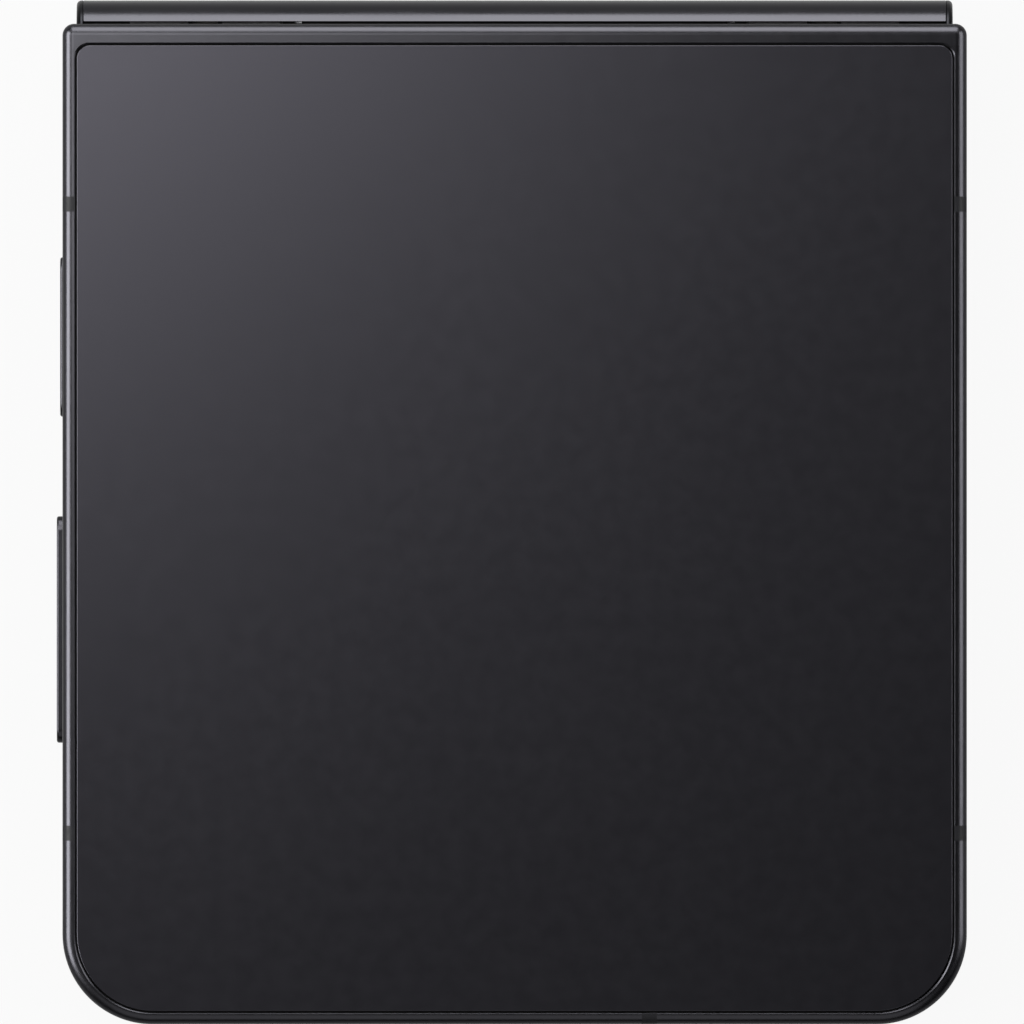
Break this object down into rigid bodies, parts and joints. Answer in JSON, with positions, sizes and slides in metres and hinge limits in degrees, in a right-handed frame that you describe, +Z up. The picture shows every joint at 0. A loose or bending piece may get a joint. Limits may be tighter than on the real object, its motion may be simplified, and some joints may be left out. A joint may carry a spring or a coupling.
{
  "type": "flip phone",
  "caption": "Clamshell phone with a folding inner display, closed, with a geared two-axis hinge and side keys.",
  "frame": {"origin": "middle of the closed phone's footprint, on the plane it lies on", "axes": "+X along the hinge, +Y from the free ends to the hinge, +Z up out of the back glass"},
  "size_m": [0.0758, 0.0852, 0.0145],
  "materials": {
    "graphite_metal": "satin dark graphite",
    "band_plastic": "matt dark",
    "back_glass": "satin-etched dark graphite glass, opaque behind",
    "black_glass": "gloss black, opaque behind",
    "display": "gloss black film",
    "bezel": "matt black",
    "steel": "stainless",
    "gear_steel": "sintered steel",
    "board": "solder mask",
    "battery": "foil pouch",
    "copper": "copper wire",
    "black_plastic": "moulded",
    "lens_glass": "coated glass, opaque behind",
    "flash": "phosphor behind clear lens",
    "rubber": "soft pads",
    "magnet": "nickel plated"
  },
  "bodies": {
    "cover_half": {"cover_frame": "graphite_metal", "cover_antenna_bands": "band_plastic", "cover_glass": "black_glass", "cover_display": "black_plastic", "cover_bezel": "bezel", "inner_display_cover": "display", "cover_support_plate": "steel", "cover_bumpers": "rubber", "cover_magnets": "magnet", "cover_brackets": "gear_steel", "cover_bracket_screws": "steel", "key_switches": "steel", "camera_rings": "graphite_metal", "camera_windows": "lens_glass", "wide_camera": "black_plastic", "ultrawide_camera": "black_plastic", "flash_lens": "flash", "selfie_camera": "lens_glass", "earpiece": "black_plastic", "main_board": "board", "shield_cans": "steel", "cover_board_screws": "steel", "cover_battery": "battery", "sim_socket": "steel"},
    "spine": {"spine_cover": "graphite_metal", "spine_end_caps": "band_plastic", "hinge_blocks": "steel", "block_screws": "steel", "disc_springs": "gear_steel", "display_fold": "display"},
    "base_half": {"base_frame": "graphite_metal", "base_antenna_bands": "band_plastic", "back_glass": "back_glass", "base_bezel": "bezel", "inner_display_base": "display", "base_support_plate": "steel", "base_bumpers": "rubber", "base_magnets": "magnet", "base_brackets": "gear_steel", "base_bracket_screws": "steel", "usb_port": "steel", "usb_board": "board", "base_board_screws": "steel", "loudspeaker": "black_plastic", "vibration_motor": "steel", "antenna_cover": "black_plastic", "base_battery": "battery", "charging_coil": "copper"},
    "base_pinion_train": {"base_pinions": "gear_steel", "base_spring_nuts": "steel"},
    "cover_pinion_train": {"cover_pinions": "gear_steel", "cover_spring_nuts": "steel"},
    "base_idler_train": {"base_idlers": "gear_steel"},
    "cover_idler_train": {"cover_idlers": "gear_steel"},
    "power_button": {"power_key": "graphite_metal"},
    "volume_button": {"volume_key": "graphite_metal"},
    "tray": {"sim_tray": "graphite_metal"}
  },
  "joints": [
    {"name": "fold", "type": "hinge", "parent": "cover_half", "child": "spine", "pos_m": [0, 0.03882, 0.00577], "axis": [-1, 0, 0], "range_deg": [0, 90], "deforming": ["display_fold"]},
    {"name": "fold_base", "type": "hinge", "parent": "spine", "child": "base_half", "pos_m": [0, 0.03882, 0.00953], "axis": [-1, 0, 0], "range_deg": [0, 90]},
    {"name": "base_pinion_spin", "type": "hinge", "parent": "spine", "child": "base_pinion_train", "pos_m": [0, 0.04107, 0.00993], "axis": [-1, 0, 0], "range_deg": [-195, 0]},
    {"name": "base_idler_spin", "type": "hinge", "parent": "spine", "child": "base_idler_train", "pos_m": [0, 0.04107, 0.00843], "axis": [-1, 0, 0], "range_deg": [0, 180]},
    {"name": "cover_idler_spin", "type": "hinge", "parent": "spine", "child": "cover_idler_train", "pos_m": [0, 0.04107, 0.00687], "axis": [-1, 0, 0], "range_deg": [-180, 0]},
    {"name": "cover_pinion_spin", "type": "hinge", "parent": "spine", "child": "cover_pinion_train", "pos_m": [0, 0.04107, 0.00537], "axis": [-1, 0, 0], "range_deg": [0, 195]},
    {"name": "power_press", "type": "slide", "parent": "cover_half", "child": "power_button", "axis": [1, 0, 0], "range_m": [0, 0.0002], "stiffness_N_per_m": 9000},
    {"name": "volume_rock", "type": "hinge", "parent": "cover_half", "child": "volume_button", "pos_m": [-0.0362, -0.0098, 0.00405], "axis": [0, 0, 1], "range_deg": [-1.3, 1.3], "stiffness_Nm_per_rad": 0.6},
    {"name": "tray_slide", "type": "slide", "parent": "cover_half", "child": "tray", "axis": [1, 0, 0], "range_m": [0, 0.02]}
  ],
  "couplings": [
    {"joint": "fold_base", "follows": "fold", "ratio": 1},
    {"joint": "base_pinion_spin", "follows": "fold", "ratio": -2.1667},
    {"joint": "base_idler_spin", "follows": "fold", "ratio": 2},
    {"joint": "cover_idler_spin", "follows": "fold", "ratio": -2},
    {"joint": "cover_pinion_spin", "follows": "fold", "ratio": 2.1667}
  ]
}
